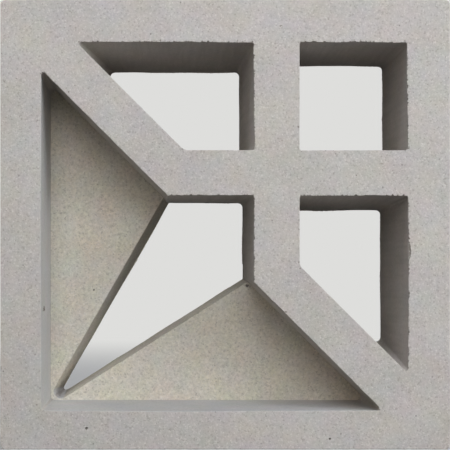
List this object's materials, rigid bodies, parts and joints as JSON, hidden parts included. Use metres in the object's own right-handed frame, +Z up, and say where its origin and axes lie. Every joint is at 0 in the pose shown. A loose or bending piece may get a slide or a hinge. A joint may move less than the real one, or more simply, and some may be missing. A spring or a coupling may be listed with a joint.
{
  "type": "pierced concrete screen block",
  "caption": "Square concrete screen block with straight and diagonal bars round open cells, and a deep recess with a kite-shaped opening in its web.",
  "frame": {"origin": "centre of the bed face, the lower mortar face that the block stands on", "axes": "+X to the right across the patterned face, +Y from the patterned face to the back, +Z up"},
  "size_m": [0.29, 0.09, 0.29],
  "materials": {
    "cast_concrete": "matt, fine sandy surface with small pores"
  },
  "bodies": {
    "root": {"screen_block": "cast_concrete"}
  },
  "joints": []
}
